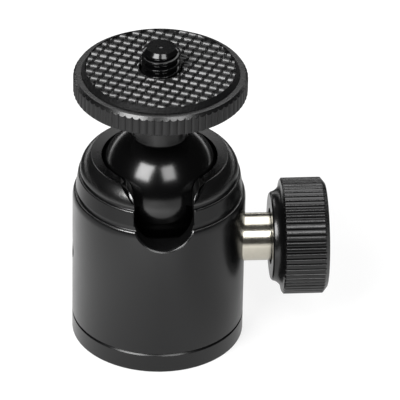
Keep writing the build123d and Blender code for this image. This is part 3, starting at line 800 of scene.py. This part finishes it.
# %% The platform
PLATFORM_R, PLATFORM_TOP_Z = 13.95, 48.4
PLATFORM_RIBS, PLATFORM_RIB_DEPTH, PLATFORM_RIB_SHARPNESS = 72, 0.20, 1.5
PLATFORM_BEVEL = (0.42, 0.63)
PAD_R, PAD_BED_Z = 12.65, 47.8
FLANGE_R, FLANGE_Z, SHANK_R = 4.7, 46.4, 2.5


def platform_section():
    """The bevel falls evenly with the radius, so it meets the rim at z = top - slope (rim - inner).  The
    lower chamfer starts at the bottom of the grooves, so its foot is a plain circle."""
    rim = rib_radius(PLATFORM_RIBS, PLATFORM_R, PLATFORM_RIB_DEPTH, PLATFORM_RIB_SHARPNESS)
    foot_r = PLATFORM_R - PLATFORM_RIB_DEPTH - 0.02
    top_r = PLATFORM_R - PLATFORM_BEVEL[0]
    slope = PLATFORM_BEVEL[1] / PLATFORM_BEVEL[0]
    section = changing(
        (SHANK_R, NECK_TOP_Z), (foot_r, NECK_TOP_Z), (rim, NECK_TOP_Z + rim - foot_r),
        (rim, PLATFORM_TOP_Z - slope * (rim - top_r)), (top_r, PLATFORM_TOP_Z),
        (PAD_R, PLATFORM_TOP_Z), (PAD_R, PAD_BED_Z),
        (FLANGE_R, PAD_BED_Z), (FLANGE_R, FLANGE_Z), (SHANK_R, FLANGE_Z),
    )
    return held(eased(section, [0, 0.01, 0.01, 0.04, 0.05, 0.05, 0, 0, 0, 0]))


platform_mesh = closed_mesh("platform_skin", round_upright(platform_section(), PLATFORM_RIBS * RIB_SAMPLES))
centre = face_centres(platform_mesh)
r = np.hypot(centre[:, 0], centre[:, 1])
bevel_width, bevel_height = PLATFORM_BEVEL
bevel_z = PLATFORM_TOP_Z - bevel_height / bevel_width * np.maximum(r - PLATFORM_R + bevel_width, 0)
platform = place("platform_dressed", platform_mesh, "platform", [platform_black, bevel_black])
paint_faces(platform_mesh, (r > PAD_R) & (centre[:, 2] > bevel_z - 0.03))
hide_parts("platform")

# %% [markdown]
# ## The rubber pad
# The pad's woven pattern is moulded: little blocks on a slanting square grid.  Along its length a block
# has a drop behind the last crest, a tread that falls slowly, a steep riser that catches the light, and a
# narrow crest.  Deep pockets lie between the blocks, bridged at the crests.  Two waves across the pad give
# every point its place (u, v) inside its cell, and the depth is a function of that place.

# %% The pattern
WEAVE_U = np.array([0.5322, -0.2930])
WEAVE_V = np.array([0.2637, 0.5176])
DROP_END, TREAD_END, CREST_START = 0.06, 0.76, 0.92
DROP_DEPTH, TREAD_FALL, TREAD_SAG, UNEVEN = 0.17, 0.16, 0.03, 0.06
BRIDGE_V, BRIDGE_HALF, BRIDGE_DEPTH, POCKET_DEPTH = 0.96, 0.06, 0.14, 0.74


def smooth_step(value):
    """3t^2 - 2t^3 between 0 and 1."""
    t = np.clip(value, 0, 1)
    return t * t * (3 - 2 * t)


def weave(x, y):
    """Depth in millimetres below the crests.  Along v, from the front of one block to its back: the drop,
    the tread, the riser, the crest.  Across u: the block, which is wider at its crest, then the pocket."""
    along_u, along_v = x * WEAVE_U[0] + y * WEAVE_U[1] + 0.5, x * WEAVE_V[0] + y * WEAVE_V[1] + 0.03
    u = along_u % 1 - 0.5
    v = (along_v - 0.07 * u) % 1
    uneven = 1 + UNEVEN * np.sin(12.9 * np.floor(along_u) + 78.2 * np.floor(along_v))
    t = np.clip((v - DROP_END) / (TREAD_END - DROP_END), 0, 1)
    tread = DROP_DEPTH * smooth_step(v / DROP_END) + TREAD_FALL * uneven * t - TREAD_SAG * np.sin(np.pi * t)
    block = tread * (1 - np.clip((v - TREAD_END) / (CREST_START - TREAD_END), 0, 1))
    from_bridge = np.abs((v - BRIDGE_V + 0.5) % 1 - 0.5)
    pocket = BRIDGE_DEPTH + (POCKET_DEPTH - BRIDGE_DEPTH) * smooth_step((from_bridge - BRIDGE_HALF) / 0.07)
    half_width = 0.25 + 0.11 * smooth_step((v - 0.62) / 0.12)
    side = smooth_step((np.abs(u) - half_width) / 0.06)
    return block * (1 - side) + np.maximum(pocket, block) * side


one_cell = WEAVE_V[:, None] / (WEAVE_V @ WEAVE_V) * np.linspace(0, 1, 9)
print("depth along one block in mm:", weave(*one_cell).round(2).tolist())

# %% The pad
PAD_TOP_R, PAD_TOP_Z, PAD_EDGE_Z, PAD_HOLE_R = 12.1, 49.3, 48.45, 3.5
PAD_ANGLES, PAD_RINGS = 816, 104


def pad_points():
    """A polar grid: rings from the hole to the top's edge, then the sloped side, the flat underside
    and the hole's wall."""
    angle = np.linspace(0, 2 * np.pi, PAD_ANGLES, endpoint=False)[:, None]
    r = np.linspace(PAD_HOLE_R, PAD_TOP_R, PAD_RINGS)[None]
    x, y = r * np.cos(angle), r * np.sin(angle)
    fade = smooth_step((r - PAD_HOLE_R) / 0.2) * smooth_step((PAD_TOP_R - r) / 0.15)
    z = PAD_TOP_Z - weave(x, y) * fade
    top = np.stack([x, y, z], axis=-1)
    side = corners((PAD_TOP_R, PAD_TOP_Z), (PAD_R, PAD_EDGE_Z), (PAD_R, PAD_BED_Z), (PAD_HOLE_R, PAD_BED_Z))
    side = eased(side, [0.0, 0.1, 0.05, 0.0])
    return np.concatenate([top, round_upright(held(side), PAD_ANGLES)[:, 4:-1]], axis=1)


pad_mesh = closed_mesh("pad_skin", pad_points())
centre = face_centres(pad_mesh)
pad = place("pad_dressed", pad_mesh, "platform", [pad_rubber, pad_edge_rubber], sharp=50.0)
paint_faces(pad_mesh, np.hypot(centre[:, 0], centre[:, 1]) > PAD_TOP_R - 0.15)
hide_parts("pad")

# %% [markdown]
# ## The camera stud
# A 1/4 inch thread has 20 turns to the inch, so it climbs 1.27 mm per turn.  Its radius is a function of
# how far a point lies from the helix: height / pitch minus angle / one turn.

# %% The stud
STUD_R, STUD_ROOT_R, STUD_PITCH = 3.175, 2.45, 1.27
STUD_TOP_Z, STUD_TIP_R = 53.15, 2.33
STUD_BEVEL = (0.49, 0.59)
STUD_TURN = 0.58
STUD_FOOT_Z, THREAD_START_Z, STUD_ANGLES = 40.0, 47.7, 144
TIP_MARK_DEPTH = 0.03


def thread_radius(angle, z, crest, root, pitch):
    """A narrow crest in the middle of each turn, and flanks about 60 degrees apart, rounded at both ends."""
    phase = np.abs((z / pitch - angle / (2 * np.pi)) % 1 - 0.5)
    flank = (phase - 0.10) / 0.30
    return crest - (crest - root) * smooth_step(flank)


def stud_points():
    """The plain shank in the neck, the thread from under the pad to the bevel, and the flat tip with the
    small mark of a lathe's centre."""
    angle = np.linspace(0, 2 * np.pi, STUD_ANGLES, endpoint=False)[:, None]
    tip_z = STUD_TOP_Z - TIP_MARK_DEPTH
    z = np.linspace(THREAD_START_Z, tip_z, 150)[None]
    r = thread_radius(angle, z - STUD_TURN, STUD_R, STUD_ROOT_R, STUD_PITCH)
    bevel = STUD_TIP_R + (STUD_TOP_Z - z) * STUD_BEVEL[0] / STUD_BEVEL[1]
    r = np.where(z > STUD_TOP_Z - STUD_BEVEL[1], bevel, np.minimum(r, bevel))
    shank = corners((0.0, STUD_FOOT_Z), (SHANK_R - 0.3, STUD_FOOT_Z), (SHANK_R, STUD_FOOT_Z + 0.3),
                    (SHANK_R, FLANGE_Z), (SHANK_R, THREAD_START_Z))
    thread = np.stack([r, z + 0 * r], axis=-1)
    tip = corners((STUD_TIP_R, STUD_TOP_Z), (STUD_TIP_R - 0.06, STUD_TOP_Z), (0.5, tip_z), (0.25, tip_z),
                  (0.12, STUD_TOP_Z), (0.0, STUD_TOP_Z))
    plain = [np.repeat(part, STUD_ANGLES, axis=0) for part in (shank, tip)]
    return round_upright(np.concatenate([plain[0], thread, plain[1]], axis=1), STUD_ANGLES)


stud_mesh = closed_mesh("stud_skin", stud_points())
camera_stud = place("camera_stud_dressed", stud_mesh, "platform", [stud_black], sharp=40.0)
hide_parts("camera_stud")

# %% [markdown]
# ## The bush, the knob and its cap
# The nickel plated bush is a plain sleeve; its streaks come from the finish.  The knob is turned about
# the same axis: a collar, a hollow cove that swings up to the ribs, a bevelled outer edge.

# %% The bush
BUSH_BORE_R, BUSH_START_X, BUSH_END_X, BUSH_CHAMFER = 3.0, 11.6, 22.5, 0.25
bush_corners = corners(
    (BUSH_BORE_R, BUSH_START_X), (BUSH_R, BUSH_START_X), (BUSH_R, BUSH_END_X - BUSH_CHAMFER),
    (BUSH_R - BUSH_CHAMFER, BUSH_END_X), (BUSH_BORE_R, BUSH_END_X),
)
bush_mesh = closed_mesh("bush_skin", round_clamp_axis(held(eased(bush_corners, [0.1] * 5)), 240))
clamp_bush = place("clamp_bush_dressed", bush_mesh, "housing", [bush_nickel])
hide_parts("clamp_bush")

# %% The knob
KNOB_R, KNOB_FACE_X, KNOB_END_X = 9.48, 18.2, 27.27
COVE_MIDDLE, COVE_END, RIB_END_X = (7.75, 19.4), (9.14, 19.95), 26.5
KNOB_RIBS, KNOB_RIB_DEPTH, KNOB_RIB_SHARPNESS = 60, 0.32, 2.5
KNOB_COLLAR_R, KNOB_COLLAR_ROUND, KNOB_BEVEL = 7.25, 0.25, 0.95
KNOB_BORE_R, KNOB_BORE_END_X, KNOB_HOLE_R = 4.6, 23.4, 2.8
KNOB_CAP_R, KNOB_CAP_BED_X = 6.0, 25.0


def knob_section():
    """(radius, x) rows; the ribs' two ends slide along the bevels with the rim's radius."""
    rim = rib_radius(KNOB_RIBS, KNOB_R, KNOB_RIB_DEPTH, KNOB_RIB_SHARPNESS)
    collar_face = (KNOB_COLLAR_R - KNOB_COLLAR_ROUND, KNOB_FACE_X)
    collar_edge = (KNOB_COLLAR_R, KNOB_FACE_X + KNOB_COLLAR_ROUND)
    inner_slope = 0.25 / (KNOB_R - COVE_END[0])
    outer_slope = (KNOB_END_X - RIB_END_X) / KNOB_BEVEL
    section = changing(
        (KNOB_HOLE_R, KNOB_BORE_END_X), (KNOB_BORE_R, KNOB_BORE_END_X), (KNOB_BORE_R, KNOB_FACE_X),
        collar_face, *arc_through(collar_edge, COVE_MIDDLE, COVE_END, 12),
        (rim, COVE_END[1] + inner_slope * (rim - COVE_END[0])),
        (rim, RIB_END_X + outer_slope * (KNOB_R - rim)),
        (KNOB_R - KNOB_BEVEL, KNOB_END_X), (KNOB_CAP_R, KNOB_END_X),
        (KNOB_CAP_R, KNOB_CAP_BED_X), (KNOB_HOLE_R, KNOB_CAP_BED_X),
    )
    setbacks = [0, 0, 0.12, 0.06, 0.06] + [0] * 10 + [0.04, 0.05, 0.08, 0.1, 0.05, 0, 0]
    return held(eased(section, setbacks))


knob_mesh = closed_mesh("knob_skin", round_clamp_axis(knob_section(), KNOB_RIBS * RIB_SAMPLES))
knob = place("knob_dressed", knob_mesh, "knob", [knob_black])
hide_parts("knob")

# %% The knob's cap
CAP_BACK_X, CAP_RIM_X, CAP_DISH_X = 26.37, 27.12, 27.17
cap_disc = corners(
    (0, CAP_BACK_X), (KNOB_CAP_R, CAP_BACK_X), (KNOB_CAP_R, CAP_RIM_X), (KNOB_CAP_R - 0.15, KNOB_END_X),
    (4.6, KNOB_END_X), (4.2, CAP_DISH_X), (0, CAP_DISH_X),
)
cap_section = held(eased(cap_disc, [0, 0.05, 0.05, 0.05, 0.1, 0.1, 0]))
knob_cap_mesh = closed_mesh("knob_cap_skin", round_clamp_axis(cap_section, 240))
knob_cap = place("knob_cap_dressed", knob_cap_mesh, "knob", [knob_black])
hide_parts("knob_cap")

# %% [markdown]
# ## What is hidden inside
# Springs, cup, liner and screws keep their CAD meshes.  They only need the right metal or black nylon.

# %% Finishes for the hidden pieces
hidden_finishes = {
    "upper_seat_ring": black_nylon, "ball_liner": black_nylon,
    "thread_bushing": plain_steel, "disc_springs": plain_steel,
    "guide_screw": plain_steel_x, "clamp_screw": plain_steel_x, "knob_screw": plain_steel_x,
    "tip_ring": plain_steel_x, "pressure_cup": inside_shade_black, "thrust_tip": turned_brass,
}
for node_name, finish in hidden_finishes.items():
    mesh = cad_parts[node_name].data
    mesh.materials.clear()
    mesh.materials.append(finish)
print("hidden pieces finished:", len(hidden_finishes))
